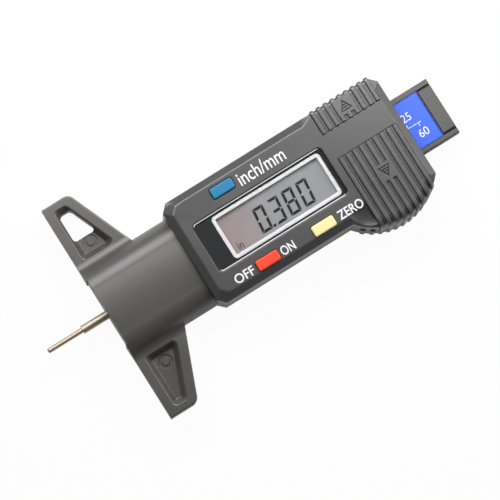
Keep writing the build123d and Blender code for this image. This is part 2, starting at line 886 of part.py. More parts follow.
# ---------------------------------------------------------------- ribbed covers
def rib_slabs(y_span, z_span):
    """Upright slices, one for each rib, across a grip."""
    return [block(span, y_span, z_span) for span in rib_spans(grip_start, grip_end)]


def arrow_outline(base_y, direction, inset):
    """Plan of an arrow, smaller all round by inset. direction is 1 towards +Y and -1 towards -Y."""
    half = arrow_base_width / 2
    point = arrow_height - inset * sqrt(half**2 + arrow_height**2) / half
    half_base = (point - inset) * half / arrow_height
    near = base_y + direction * inset
    tip = (grip_middle, base_y + direction * point)
    return polygon((grip_middle - half_base, near), (grip_middle + half_base, near), tip)


def arrow_bars(base_y, direction):
    """Bars that shrink to the arrow's point, left standing in it."""
    step = (arrow_height - arrow_groove) / arrow_bar_count
    inner = slab(arrow_outline(base_y, direction, arrow_groove), rib_top - arrow_depth, rib_top)
    x_span = (grip_middle - arrow_base_width, grip_middle + arrow_base_width)
    bars = []
    for index in range(arrow_bar_count):
        near = base_y + direction * (arrow_groove + index * step)
        far = near + direction * (step - arrow_groove)
        y_span = (min(near, far), max(near, far))
        bar = inner & block(x_span, y_span, (rib_top - arrow_depth, rib_top))
        bars.extend(bar.solids())
    return bars


def with_arrow(body, shell, base_y, direction):
    """A grip with a smooth pad over the middle ribs, inside its outer shell, and the arrow sunk in it."""
    half = rib_pitch + rib_width / 2
    near = base_y - direction * arrow_pad_margin
    far = base_y + direction * (arrow_height + arrow_pad_margin)
    y_span = (min(near, far), max(near, far))
    body += shell & block((grip_middle - half, grip_middle + half), y_span, (cover_underside, rib_top))
    body -= slab(arrow_outline(base_y, direction, 0), rib_top - arrow_depth, rib_top + 1)
    for bar in arrow_bars(base_y, direction):
        body += bar
    return body


def battery_shell(radius, top, edge_radius):
    """Outer form of the battery cover, with its swollen side, to a given radius and height."""
    near = battery_grip_y
    width = grip_end - grip_start
    upper = Pos(grip_middle, (near + bulge_y) / 2) * Rectangle(width, near - bulge_y)
    fence = Pos(grip_middle, bulge_y - radius / 2) * Rectangle(width, radius)
    outline = upper + (bulge_circle(radius) & fence)
    body = slab(outline, parting + fit_gap, top)
    rim = body.edges().filter_by(GeomType.CIRCLE).sort_by(Axis.Z)[-1]
    return fillet(rim, edge_radius)


def make_battery_cover():
    """The ribbed cover that slides off the cell."""
    skin = battery_shell(bulge_radius, housing_face, skirt_edge_radius)
    outer = battery_shell(bulge_radius + rib_proud, rib_top, skirt_edge_radius)
    far = bulge_y - bulge_radius - rib_proud - 1
    body = skin
    for piece in rib_slabs((far, battery_grip_y), (parting, rib_top + 1)):
        body += rounded_rib(outer & piece)
    body = with_arrow(body, outer, battery_arrow_y, -1)
    inner = bulge_circle(bulge_radius - skirt_thickness)
    lane_x = (grip_start + cover_edge_width, grip_end - cover_edge_width)
    width = lane_x[1] - lane_x[0]
    fence = Pos(grip_middle, bulge_y) * Rectangle(width, 2 * bulge_radius)
    lane_y = (bulge_y - 1, battery_grip_y + 1)
    lane = Pos(grip_middle, (lane_y[0] + lane_y[1]) / 2) * Rectangle(width, lane_y[1] - lane_y[0])
    body -= slab((inner & fence) + lane, parting - 1, cover_underside)
    edge_bottom = ceiling - fit_gap - tongue_height
    open_y = (housing_y_low - cover_gap, battery_grip_y + 1)
    body -= block((grip_start - 1, grip_end + 1), open_y, (parting - 1, edge_bottom))
    tongue_y = (housing_y_low, battery_grip_y)
    tongue_z = (edge_bottom, ceiling - fit_gap)
    body += block((grip_start - tongue_reach, grip_start + cover_edge_width), tongue_y, tongue_z)
    body += block((grip_end - cover_edge_width, grip_end + tongue_reach), tongue_y, tongue_z)
    return body


def port_shell(side, top):
    """Outer form of the port cover, to a given side face and height."""
    body = block((grip_start, grip_end), (port_grip_y, side), (port_bottom + fit_gap, top))
    rim = body.edges().filter_by(Axis.X).sort_by(lambda e: e.center().Y + e.center().Z)[-1]
    return fillet(rim, port_skirt_thickness)


def make_port_cover():
    """The ribbed cover that slides off the data port."""
    skin = port_shell(housing_y_high, housing_face)
    outer = port_shell(housing_y_high + rib_proud, rib_top)
    body = skin
    for piece in rib_slabs((port_grip_y, housing_y_high + 1), (port_bottom, rib_top + 1)):
        body += rounded_rib(outer & piece)
    body = with_arrow(body, outer, port_arrow_y, 1)
    edge_bottom = ceiling - fit_gap - tongue_height
    lane_x = (grip_start + cover_edge_width, grip_end - cover_edge_width)
    lane_y = (port_grip_y - 1, housing_y_high - port_skirt_thickness)
    body -= block(lane_x, lane_y, (port_bottom, cover_underside))
    open_y = (port_grip_y - 1, housing_y_high - side_wall)
    body -= block((grip_start - 1, grip_end + 1), open_y, (port_bottom, edge_bottom))
    tongue_z = (edge_bottom, ceiling - fit_gap)
    tongue_y = (port_grip_y, housing_y_high - port_skirt_thickness)
    body += block((grip_start - tongue_reach, grip_start + cover_edge_width), tongue_y, tongue_z)
    body += block((grip_end - cover_edge_width, grip_end + tongue_reach), tongue_y, tongue_z)
    return body


# ---------------------------------------------------------------- beam and probe
def make_slide_beam():
    """The beam, with a recess for the strip and a groove for the stop screw."""
    beam = block((beam_start, beam_end), (-beam_half, beam_half), (-beam_top, beam_top))
    beam = chamfer(beam.edges().filter_by(Axis.X), beam_edge)
    recess_y = (-strip_recess_half_width, strip_recess_half_width)
    beam -= block((strip_recess_start, beam_end + 1), recess_y, (strip_floor, beam_top + 1))
    groove_half = stop_screw_radius + stop_groove_gap
    groove_start = stop_screw_x - pull_travel
    groove_end = stop_screw_x + push_travel
    groove_z = (-beam_top - 1, -beam_top + stop_groove_depth)
    beam -= block((groove_start, groove_end), (-groove_half, groove_half), groove_z)
    for x in (groove_start, groove_end):
        beam -= rod(x, 0, groove_half, *groove_z)
    socket_end = beam_start + probe_grip_length + fit_gap
    beam -= rod_along_x(probe_thick_radius + screw_gap, beam_start - 1, socket_end)
    set_x = beam_start + set_screw_setback
    return beam - rod(set_x, 0, set_screw_radius + screw_gap, 0, beam_top + 1)


def make_scale_strip():
    """The strip with the pattern that the board reads."""
    x_span = (strip_recess_start + fit_gap, cap_start - end_cap_gap)
    y_span = (-strip_recess_half_width + fit_gap, strip_recess_half_width - fit_gap)
    return block(x_span, y_span, (strip_floor, strip_floor + strip_thickness))


def make_scale_label():
    """The film over the strip."""
    x_span = (strip_recess_start + fit_gap, cap_start - end_cap_gap)
    y_span = (-strip_recess_half_width + fit_gap, strip_recess_half_width - fit_gap)
    low = strip_floor + strip_thickness
    return block(x_span, y_span, (low, low + label_thickness))


def make_beam_end_cap():
    """The end block of the beam, with sloping sides."""
    y_high = strip_recess_half_width - fit_gap
    cap = block((cap_start, beam_end), (-y_high, y_high), (strip_floor, beam_top))
    sides = top_face(cap).edges().filter_by(Axis.X)
    return chamfer(sides, min(end_cap_chamfer, (beam_top - strip_floor) * 0.9))


def make_probe_pin():
    """The stepped steel probe."""
    thick = rod_along_x(probe_thick_radius, -probe_step_out, beam_start + probe_grip_length)
    thin = rod_along_x(probe_thin_radius, -probe_tip_out, -probe_step_out)
    tip = thin.edges().sort_by(Axis.X)[0]
    return fillet(tip, probe_tip_round) + thick


def make_probe_set_screw():
    """The grub screw that clamps the probe in the beam."""
    x = beam_start + set_screw_setback
    top = beam_top - set_screw_sink
    screw = rod(x, 0, set_screw_radius, 0, top)
    screw -= rod_along_x(probe_thick_radius, beam_start, beam_start + probe_grip_length)
    kept = screw.solids().sort_by(Axis.Z)[-1]
    return kept - cross_cut(x, 0, set_screw_radius, top, slot_depth)


def make_gib_spring():
    """The bowed strip that presses on the edge of the beam and gives it its drag."""
    middle = (drag_spring_start + drag_spring_end) / 2
    wall = channel_half + drag_spring_pocket - fit_gap
    crown = beam_half + spring_gap
    thick = drag_spring_thickness
    outer = ThreePointArc((drag_spring_start, wall), (middle, crown + thick), (drag_spring_end, wall))
    inner = ThreePointArc((drag_spring_start, wall - thick), (middle, crown), (drag_spring_end, wall - thick))
    left = Line((drag_spring_start, wall), (drag_spring_start, wall - thick))
    right = Line((drag_spring_end, wall), (drag_spring_end, wall - thick))
    outline = make_face(Curve() + [outer, inner, left, right])
    return slab(outline, -drag_spring_half_height, drag_spring_half_height)


def main():
    pieces = {
        "base_frame": make_base_frame(),
        "nose_plate": make_nose_plate(),
        "back_plate": make_back_plate(),
        "cover_screws": make_cover_screws(),
        "plate_screws": make_plate_screws(),
        "stop_screw": make_stop_screw(),
        "back_label": make_back_label(),
        "front_cover": make_front_cover(),
        "display_window": make_display_window(),
        "display_gasket": make_display_gasket(),
        "display_frame": make_display_frame(),
        "lcd_panel": make_lcd_panel(),
        "zebra_strips": make_zebra_strips(),
        "circuit_board": make_circuit_board(),
        "chip_blob": make_chip_blob(),
        "board_screws": make_board_screws(),
        "port_pads": make_port_pads(),
        "button_domes": make_button_domes(),
        "unit_button": make_button(unit_button_place),
        "power_button": make_button(power_button_place),
        "zero_button": make_button(zero_button_place),
        "button_cell": make_button_cell(),
        "battery_contact_minus": make_battery_contact_minus(),
        "battery_contact_plus": make_battery_contact_plus(),
        "battery_cover": make_battery_cover(),
        "port_cover": make_port_cover(),
        "gib_spring": make_gib_spring(),
        "slide_beam": make_slide_beam(),
        "scale_strip": make_scale_strip(),
        "scale_label": make_scale_label(),
        "beam_end_cap": make_beam_end_cap(),
        "probe_pin": make_probe_pin(),
        "probe_set_screw": make_probe_set_screw(),
    }
    os.makedirs("parts", exist_ok=True)
    for name, piece in pieces.items():
        shape = Compound(children=piece) if isinstance(piece, list) else piece
        export_step(shape, f"parts/{name}.step")


main()
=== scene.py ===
"""Finish of a digital tire tread gauge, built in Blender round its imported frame.

Lengths in the code are in millimetres and are turned into Blender's metres by MM. The beam and the probe lie
along X, with the probe at the low end, and the inch/mm button is on the high side of Y.
"""

import math

import bmesh
import bpy
from bpy.props import FloatProperty, FloatVectorProperty, PointerProperty, StringProperty
from mathutils import Matrix, Vector


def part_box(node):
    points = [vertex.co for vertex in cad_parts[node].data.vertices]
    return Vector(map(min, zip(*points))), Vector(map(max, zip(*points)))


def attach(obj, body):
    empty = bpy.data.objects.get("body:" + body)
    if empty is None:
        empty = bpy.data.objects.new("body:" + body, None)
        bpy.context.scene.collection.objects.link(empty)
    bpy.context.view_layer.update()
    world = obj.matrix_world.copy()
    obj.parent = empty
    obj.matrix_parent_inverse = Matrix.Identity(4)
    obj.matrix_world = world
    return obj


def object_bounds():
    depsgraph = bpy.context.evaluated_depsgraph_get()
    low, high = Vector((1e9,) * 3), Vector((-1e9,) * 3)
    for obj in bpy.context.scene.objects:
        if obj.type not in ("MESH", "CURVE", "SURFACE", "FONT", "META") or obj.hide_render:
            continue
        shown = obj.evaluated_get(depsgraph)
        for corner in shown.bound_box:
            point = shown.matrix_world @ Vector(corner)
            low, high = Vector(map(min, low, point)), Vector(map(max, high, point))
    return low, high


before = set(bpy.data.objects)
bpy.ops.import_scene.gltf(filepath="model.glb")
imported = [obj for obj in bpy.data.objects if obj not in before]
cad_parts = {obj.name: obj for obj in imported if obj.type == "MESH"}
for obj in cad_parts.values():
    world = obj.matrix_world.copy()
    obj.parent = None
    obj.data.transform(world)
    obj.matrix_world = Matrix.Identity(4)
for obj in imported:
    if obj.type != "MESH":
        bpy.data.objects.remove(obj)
CAD_LOW, CAD_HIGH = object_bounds()

bl_info = {
    "name": "Tread Gauge Finish",
    "version": (1, 0, 0),
    "blender": (4, 5, 0),
    "location": "3D View > Sidebar > Gauge",
    "description": "Materials, printed marks and studio for a digital tire tread gauge",
    "category": "Object",
}

MM = 0.001
SCREEN_WHITE = 255
INCH = 25.4


def tone(red, green, blue):
    """A colour as Blender's linear values, from the 0 to 255 values that a screen shows."""
    def linear(value):
        part = value / SCREEN_WHITE
        # The screen's own curve, sRGB: a short straight line and then a power.
        return part / 12.92 if part <= 0.04045 else ((part + 0.055) / 1.055) ** 2.4
    return (linear(red), linear(green), linear(blue))


def low(name):
    """Lowest corner of a node of the frame, in millimetres."""
    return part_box(name)[0] / MM


def high(name):
    """Highest corner of a node of the frame, in millimetres."""
    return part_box(name)[1] / MM


# ---------------------------------------------------------------- settings


def colour(name, description, red, green, blue):
    """A colour setting."""
    return FloatVectorProperty(
        name=name, description=description, subtype="COLOR", min=0, max=1, default=tone(red, green, blue)
    )


def length(name, description, millimetres):
    """A length setting, kept in metres."""
    return FloatProperty(
        name=name, description=description, unit="LENGTH", precision=5, default=millimetres * MM
    )


def power(name, description, watts):
    """A setting for a lamp's power."""
    return FloatProperty(name=name, description=description, unit="POWER", default=watts, min=0)


def share(name, description, default):
    """A setting from 0 to 1."""
    return FloatProperty(name=name, description=description, subtype="FACTOR", default=default, min=0, max=1)


class GaugeColours(bpy.types.PropertyGroup):
    """Colours of the gauge's surfaces."""

    body: colour("Body plastic", "Foot, barrel and tray", 82, 80, 79)
    cover: colour("Cover plastic", "Upper shell", 74, 73, 73)
    grip: colour("Grip plastic", "The two ribbed covers", 86, 85, 86)
    beam: colour("Beam plastic", "Slide beam and its end block", 64, 63, 62)
    unit_button: colour("Unit button", "Cap of the inch/mm button", 36, 128, 172)
    power_button: colour("Power button", "Cap of the OFF/ON button", 255, 78, 50)
    zero_button: colour("Zero button", "Cap of the ZERO button", 246, 236, 170)
    legend: colour("Legend ink", "Printed words on the shell and the beam", 246, 246, 246)
    label: colour("Beam label", "Film on the beam", 58, 106, 240)
    # The film's dark border is painted shadow along its edges.
    label_edge_shadow: colour("Beam label edge", "Painted shadow along the film's edges", 26, 52, 150)
    bezel: colour("Display frame", "Frame round the liquid crystal", 200, 198, 198)
    crystal: colour("Liquid crystal", "Lit ground of the display", 132, 132, 131)
    # A warmer tint with painted shade, for the left end of the display.
    crystal_warm_shade: colour("Liquid crystal, shaded end", "Ground of the display at its left end", 134, 119, 116)
    segment: colour("Segments", "Digits of the display", 24, 24, 24)
    steel: colour("Probe steel", "Turned probe", 205, 192, 172)


class GaugeMarks(bpy.types.PropertyGroup):
    """Printed marks and the display's reading."""

    reading: StringProperty(name="Reading", description="Digits on the display, as a number", default="0.380")
    digit_height: length("Digit height", "Height of a digit of the display", 6.5)
    digit_width: length("Digit width", "Width of a digit of the display", 2.95)
    digit_pitch: length("Digit pitch", "From one digit to the next", 4.12)
    stroke: length("Segment width", "Width of a segment of a digit", 0.7)
    slant: FloatProperty(
        name="Slant", description="Lean of the digits", subtype="ANGLE", default=math.radians(6)
    )
    capital_height: length("Capital height", "Height of the capitals on the shell", 2.4)
    small_height: length("Small letter line height", "Height of the line with inch/mm", 3.5)
    ink: length("Ink thickness", "How far printed words stand up", 0.02)


class GaugeStudio(bpy.types.PropertyGroup):
    """Camera and light."""

    distance: length("Distance", "Camera to gauge", 1000)
    view_width: length("View width", "Width seen at the gauge", 122.7)
    aim: FloatVectorProperty(
        name="Aim", description="Middle of the view, from the middle of the gauge", size=2, unit="LENGTH",
        precision=5, default=(-1.99 * MM, -5.05 * MM)
    )
    key: power("Key light", "Power of the lamp above the end of the beam", 0.235)
    fill: power("Fill light", "Power of the lamp on the side of the inch/mm button", 0.21)
    low: power("Low light", "Power of the low lamp under the key light", 0.1)
    rim: power("Rim light", "Power of the low lamp beyond the beam", 0.11)
    lamp_size: length("Lamp size", "Side of each square lamp", 120)
    lamp_distance: length("Lamp distance", "From each lamp to the gauge", 200)
    sky: FloatProperty(name="Surround", description="Strength of the even surround", default=0.1, min=0)
    floor_glow: share("Floor glow", "Share of the floor that is seen as plain white", 0.96)
    mirror_glow: share("Mirrored glow", "The same share, as metal, glass and gloss show it", 0.35)


# ---------------------------------------------------------------- node helpers


def feed(tree, socket, value):
    """Sets an input, or links it when the value is another node's output."""
    if isinstance(value, bpy.types.NodeSocket):
        tree.links.new(value, socket)
    elif socket.type == "RGBA":
        socket.default_value = (*value, 1)
    else:
        socket.default_value = value


def add(tree, kind, inputs=None, **settings):
    """A new node with its settings and its inputs, which are named or numbered."""
    made = tree.nodes.new(kind)
    for key, value in settings.items():
        setattr(made, key, value)
    for key, value in (inputs or {}).items():
        feed(tree, made.inputs[key], value)
    return made


def maths(tree, operation, *values):
    """The result of a Math node."""
    made = add(tree, "ShaderNodeMath", dict(enumerate(values)), operation=operation)
    return made.outputs[0]


def blend(tree, amount, first, second):
    """A colour between two colours."""
    made = tree.nodes.new("ShaderNodeMix")
    made.data_type = "RGBA"
    feed(tree, made.inputs["Factor"], amount)
    # The sockets named A and B exist once for each kind of data, so the colours' own are found by number.
    feed(tree, made.inputs[6], first)
    feed(tree, made.inputs[7], second)
    return made.outputs[2]


def spread(tree, value, start, end, to_start=0.0, to_end=1.0, smooth=False):
    """A value moved from one range to another."""
    inputs = {"Value": value, "From Min": start, "From Max": end, "To Min": to_start, "To Max": to_end}
    kind = "SMOOTHSTEP" if smooth else "LINEAR"
    made = add(tree, "ShaderNodeMapRange", inputs, clamp=True, interpolation_type=kind)
    return made.outputs[0]


def scaled(tree, colour_or_vector, factor):
    """Three values, each times a factor."""
    inputs = {0: colour_or_vector, "Scale": factor}
    return add(tree, "ShaderNodeVectorMath", inputs, operation="SCALE").outputs[0]


def place(tree):
    """The place on the object in metres."""
    return add(tree, "ShaderNodeTexCoord").outputs["Object"]


def axis(tree, letter):
    """One coordinate of the place on the object, in metres."""
    return add(tree, "ShaderNodeSeparateXYZ", {0: place(tree)}).outputs[letter]


def stripes(tree, pitch, first, second):
    """Bars of two colours across X. A pair of them takes one pitch, in millimetres."""
    phase = maths(tree, "FRACT", maths(tree, "DIVIDE", axis(tree, "X"), pitch * MM))
    return blend(tree, maths(tree, "GREATER_THAN", phase, 0.5), first, second)


def noise(tree, where, size, detail, roughness=0.5):
    """A noise from 0 to 1 whose patches are about size metres across."""
    scale = maths(tree, "DIVIDE", 1.0, size)
    inputs = {"Vector": where, "Scale": scale, "Detail": detail, "Roughness": roughness}
    return add(tree, "ShaderNodeTexNoise", inputs).outputs["Fac"]


def new_group(name, inputs, outputs):
    """A shader node group with its sockets. Returns the group, its input node and its output node."""
    group = bpy.data.node_groups.new(name, "ShaderNodeTree")
    for label, kind, default in inputs:
        socket = group.interface.new_socket(label, in_out="INPUT", socket_type=kind)
        socket.default_value = default
    for label, kind in outputs:
        group.interface.new_socket(label, in_out="OUTPUT", socket_type=kind)
    return group, group.nodes.new("NodeGroupInput"), group.nodes.new("NodeGroupOutput")


FLOAT = "NodeSocketFloat"
COLOR = "NodeSocketColor"
VECTOR = "NodeSocketVector"


def mould_grain_group():
    """The fine spark-eroded skin of a moulded part, as a height from 0 to 1."""
    group, given, result = new_group(
        "Mould grain",
        [("Size", FLOAT, 0.0003), ("Depth", FLOAT, 1.0)],
        [("Height", FLOAT)],
    )
    fine_share, coarse_share, times_as_coarse = 0.75, 0.25, 4.0
    where, size = place(group), given.outputs["Size"]
    fine = noise(group, where, size, 3.0, 0.6)
    coarse = noise(group, where, maths(group, "MULTIPLY", size, times_as_coarse), 1.0)
    coarse = maths(group, "MULTIPLY", coarse, coarse_share)
    both = maths(group, "ADD", maths(group, "MULTIPLY", fine, fine_share), coarse)
    feed(group, result.inputs["Height"], maths(group, "MULTIPLY", both, given.outputs["Depth"]))
    return group


def handling_group():
    """Soft patches where hands have polished a surface: a roughness and a shade of its colour."""
    group, given, result = new_group(
        "Handling",
        [
            ("Color", COLOR, (1, 1, 1, 1)), ("Roughness", FLOAT, 0.4), ("Patch Size", FLOAT, 0.012),
            ("Amount", FLOAT, 0.5),
        ],
        [("Color", COLOR), ("Roughness", FLOAT)],
    )
    rough_swing, bright_swing = 0.3, 0.25
    patches = noise(group, place(group), given.outputs["Patch Size"], 3.0, 0.55)
    centred = maths(group, "SUBTRACT", patches, 0.5)
    swing = maths(group, "MULTIPLY", centred, given.outputs["Amount"])
    rough = maths(group, "MULTIPLY_ADD", swing, rough_swing, given.outputs["Roughness"])
    bright = maths(group, "MULTIPLY_ADD", swing, bright_swing, 1.0)
    feed(group, result.inputs["Color"], scaled(group, given.outputs["Color"], bright))
    feed(group, result.inputs["Roughness"], rough)
    return group


def soft_edge_group():
    """A normal that turns softly over the edges, and a mask of where it does."""
    group, given, result = new_group(
        "Soft edge",
        [("Radius", FLOAT, 0.0002), ("Rub", FLOAT, 2.0)],
        [("Normal", VECTOR), ("Mask", FLOAT)],
    )
    soft = add(group, "ShaderNodeBevel", {"Radius": given.outputs["Radius"]}, samples=6).outputs[0]
    flat = add(group, "ShaderNodeNewGeometry").outputs["True Normal"]
    along = add(group, "ShaderNodeVectorMath", {0: soft, 1: flat}, operation="DOT_PRODUCT")
    away = maths(group, "SUBTRACT", 1.0, along.outputs["Value"])
    strength = {0: away, 1: given.outputs["Rub"]}
    mask = add(group, "ShaderNodeMath", strength, operation="MULTIPLY", use_clamp=True)
    feed(group, result.inputs["Normal"], soft)
    feed(group, result.inputs["Mask"], mask.outputs[0])
    return group


def crevice_shade_group():
    """Painted shade in grooves and inner corners, as a mask: darker where the surface is hidden."""
    group, given, result = new_group(
        "Grime",
        [("Reach", FLOAT, 0.0003), ("Amount", FLOAT, 0.5)],
        [("Mask", FLOAT)],
    )
    open_from, hidden_from = 0.95, 0.65
    hidden = add(group, "ShaderNodeAmbientOcclusion", {"Distance": given.outputs["Reach"]}, samples=8)
    corner = spread(group, hidden.outputs["AO"], open_from, hidden_from, smooth=True)
    feed(group, result.inputs["Mask"], maths(group, "MULTIPLY", corner, given.outputs["Amount"]))
    return group


GROUPS = {}


def shared(tree, maker, inputs):
    """One of the shared effects, placed in a material with its values. Its first use builds it."""
    if maker not in GROUPS:
        GROUPS[maker] = maker()
    return add(tree, "ShaderNodeGroup", inputs, node_tree=GROUPS[maker])


def new_material(name):
    """An empty node material: its tree, its Principled shader and its output."""
    material = bpy.data.materials.new(name)
    material.use_nodes = True
    tree = material.node_tree
    tree.nodes.clear()
    output = tree.nodes.new("ShaderNodeOutputMaterial")
    shader = tree.nodes.new("ShaderNodeBsdfPrincipled")
    tree.links.new(shader.outputs[0], output.inputs["Surface"])
    return material, tree, shader, output


# How soon an edge counts as rubbed, how much lighter it is then, and the colour of the painted shade in the
# grooves.
RUB = 2.0
RUBBED_GAIN = 1.8
PAINTED_SHADE = tone(22, 21, 21)


def finished(name, base, roughness, grain=0.0003, depth=0.25, relief=0.02, radius=0.12, worn=0.25,
             patches=0.5, patch_size=0.012, metallic=0.0, height=None, crevice_shade=0.0, reach=0.0003, **constants):
    """A surface with grain, handling and rubbed edges.

    base is a colour, or a function of the tree that gives one, and height is a function of the tree too.
    relief and radius are in millimetres, and grain, patch_size and reach are in metres.
    """
    material, tree, shader, _ = new_material(name)
    ground = base(tree) if callable(base) else base
    handled = shared(tree, handling_group, {
        "Color": ground, "Roughness": roughness, "Patch Size": patch_size, "Amount": patches})
    edge = shared(tree, soft_edge_group, {"Radius": radius * MM, "Rub": RUB})
    rubbed = maths(tree, "MULTIPLY", edge.outputs["Mask"], worn)
    skin = shared(tree, mould_grain_group, {"Size": grain, "Depth": depth})
    raised = skin.outputs["Height"]
    if height:
        raised = maths(tree, "ADD", raised, height(tree))
    bump = add(tree, "ShaderNodeBump", {
        "Strength": 1.0, "Distance": relief * MM, "Height": raised, "Normal": edge.outputs["Normal"]})
    lighter = scaled(tree, handled.outputs["Color"], RUBBED_GAIN)
    surface = blend(tree, rubbed, handled.outputs["Color"], lighter)
    # Painted shade: the colour darkens where grooves and inner corners hide the surface.
    if crevice_shade:
        shade_node = shared(tree, crevice_shade_group, {"Reach": reach, "Amount": crevice_shade})
        surface = blend(tree, shade_node.outputs["Mask"], surface, PAINTED_SHADE)
    feed(tree, shader.inputs["Base Color"], surface)
    feed(tree, shader.inputs["Roughness"], handled.outputs["Roughness"])
    feed(tree, shader.inputs["Normal"], bump.outputs[0])
    feed(tree, shader.inputs["Metallic"], metallic)
    for key, value in constants.items():
        feed(tree, shader.inputs[key.replace("_", " ")], value)
    return material


def coat(name, material):
    """Gives a node of the frame its material."""
    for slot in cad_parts[name].material_slots:
        slot.material = material


# ---------------------------------------------------------------- meshes


def upright(x_span, y_span):
    """Corners of a rectangle that lies along the axes."""
    return [(x_span[0], y_span[0]), (x_span[1], y_span[0]), (x_span[1], y_span[1]), (x_span[0], y_span[1])]


CORNER_STEPS = 6


def rounded_loop(x_span, y_span, radius):
    """Corner points of a rounded rectangle, anticlockwise."""
    corners = [
        (x_span[1] - radius, y_span[0] + radius, -90),
        (x_span[1] - radius, y_span[1] - radius, 0),
        (x_span[0] + radius, y_span[1] - radius, 90),
        (x_span[0] + radius, y_span[0] + radius, 180),
    ]
    points = []
    for x, y, start in corners:
        for step in range(CORNER_STEPS + 1):
            angle = math.radians(start + 90 * step / CORNER_STEPS)
            points.append((x + radius * math.cos(angle), y + radius * math.sin(angle)))
    return points


def new_piece(name, mesh, material, body):
    """An object with that mesh and material that rides on a body."""
    piece = bpy.data.objects.new(name, mesh)
    bpy.context.scene.collection.objects.link(piece)
    mesh.materials.clear()
    mesh.materials.append(material)
    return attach(piece, body)


def raised_shapes(name, outlines, base, top):
    """A mesh of flat closed outlines, each drawn up from base to top."""
    mesh = bpy.data.meshes.new(name)
    work = bmesh.new()
    for outline in outlines:
        floor = [work.verts.new(Vector((x, y, base)) * MM) for x, y in outline]
        roof = [work.verts.new(Vector((x, y, top)) * MM) for x, y in outline]
        work.faces.new(list(reversed(floor)))
        work.faces.new(roof)
        for index, corner in enumerate(floor):
            following = (index + 1) % len(floor)
            work.faces.new((corner, floor[following], roof[following], roof[index]))
    work.to_mesh(mesh)
    work.free()
    return mesh


def raised_ring(name, outer, inner, base, top):
    """A mesh of the ring between two outlines with equally many points."""
    mesh = bpy.data.meshes.new(name)
    work = bmesh.new()
    rings = []
    for outline, level in ((outer, base), (outer, top), (inner, top), (inner, base)):
        rings.append([work.verts.new(Vector((x, y, level)) * MM) for x, y in outline])
    count = len(outer)
    for index in range(4):
        one, other = rings[index], rings[(index + 1) % 4]
        for step in range(count):
            following = (step + 1) % count
            work.faces.new((one[step], one[following], other[following], other[step]))
    work.to_mesh(mesh)
    work.free()
    return mesh


HALF_THICKNESS = 0.5


def word_mesh(name, words, weight):
    """A mesh of some words in Blender's own typeface, at any size, and 1 thick about the level 0."""
    text = bpy.data.curves.new(name, "FONT")
    text.body = words
    text.offset = weight
    text.extrude = HALF_THICKNESS
    text.resolution_u = 6
    carrier = bpy.data.objects.new(name, text)
    bpy.context.scene.collection.objects.link(carrier)
    bpy.context.view_layer.update()
    evaluated = carrier.evaluated_get(bpy.context.evaluated_depsgraph_get())
    mesh = bpy.data.meshes.new_from_object(evaluated)
    bpy.data.objects.remove(carrier)
    bpy.data.curves.remove(text)
    return mesh


def printed(name, items, level, material, body, weight=0.0):
    """A piece of printed words that stands on a level.

    An item is a text with its left end, base, width and height.
    """
    ink = bpy.context.scene.gauge_marks.ink / MM
    work = bmesh.new()
    for text, left, base, width, height in items:
        mesh = word_mesh(name, text, weight)
        xs = [vertex.co.x for vertex in mesh.vertices]
        ys = [vertex.co.y for vertex in mesh.vertices]
        scale = Vector((width / (max(xs) - min(xs)), height / (max(ys) - min(ys)), ink))
        for vertex in mesh.vertices:
            x = left + (vertex.co.x - min(xs)) * scale.x
            y = base + (vertex.co.y - min(ys)) * scale.y
            z = level + (vertex.co.z + HALF_THICKNESS) * scale.z
            vertex.co = Vector((x, y, z)) * MM
        work.from_mesh(mesh)
        bpy.data.meshes.remove(mesh)
    joined = bpy.data.meshes.new(name)
    work.to_mesh(joined)
    work.free()
    return new_piece(name, joined, material, body)


# ---------------------------------------------------------------- materials of this gauge


# Under the lens, a film or a print hardly shines.
DULL = {"Specular_IOR_Level": 0.15}


def plastic(name, base, roughness, crevice_shade=0.75, reach=0.0003, radius=0.12):
    """Moulded ABS with a fine spark-eroded skin and painted shade in its grooves."""
    return finished(name, base, roughness, radius=radius, crevice_shade=crevice_shade, reach=reach, Specular_IOR_Level=1.0)


def ink_material(name):
    """Pale ink of the printed words and marks."""
    ink = tuple(bpy.context.scene.gauge_colours.legend)
    return finished(name, ink, 0.45, grain=0.0002, depth=0.3, relief=0.002, radius=0.01, worn=0.0,
                    patches=0.15)


def metal(name, red, green, blue, roughness, **settings):
    """Bare or plated metal."""
    return finished(name, tone(red, green, blue), roughness, metallic=1.0, **settings)


def glass_material():
    """The clear lens. It lets the lamps through to the display."""
    tint, smear_size = (0.93, 0.94, 0.95), 0.009
    material, tree, shader, output = new_material("Clear lens")
    smears = noise(tree, place(tree), smear_size, 3.0)
    feed(tree, shader.inputs["Base Color"], tint)
    feed(tree, shader.inputs["Roughness"], spread(tree, smears, 0.3, 0.8, 0.0, 0.02))
    feed(tree, shader.inputs["Transmission Weight"], 1.0)
    feed(tree, shader.inputs["IOR"], 1.49)
    clear = add(tree, "ShaderNodeBsdfTransparent", {"Color": tint})
    shadow = add(tree, "ShaderNodeLightPath").outputs["Is Shadow Ray"]
    mix = add(tree, "ShaderNodeMixShader", {0: shadow, 1: shader.outputs[0], 2: clear.outputs[0]})
    tree.links.new(mix.outputs[0], output.inputs["Surface"])
    return material


def crystal_material():
    """The display's ground: a polariser film with a warmer tint at its left end, where painted shade also
    darkens it.
    """
    colours = bpy.context.scene.gauge_colours
    left, right = low("lcd_panel").x, high("lcd_panel").x
    middle = left + 0.5 * (right - left)

    def ground(tree):
        # Painted shade: towards the left end the ground turns warmer and darker.
        along = spread(tree, axis(tree, "X"), left * MM, middle * MM, smooth=True)
        return blend(tree, along, tuple(colours.crystal_warm_shade), tuple(colours.crystal))

    return finished("Liquid crystal", ground, 0.35, grain=0.00012, depth=0.4, relief=0.002, radius=0.02,
                    worn=0.0, patches=0.2, **DULL)


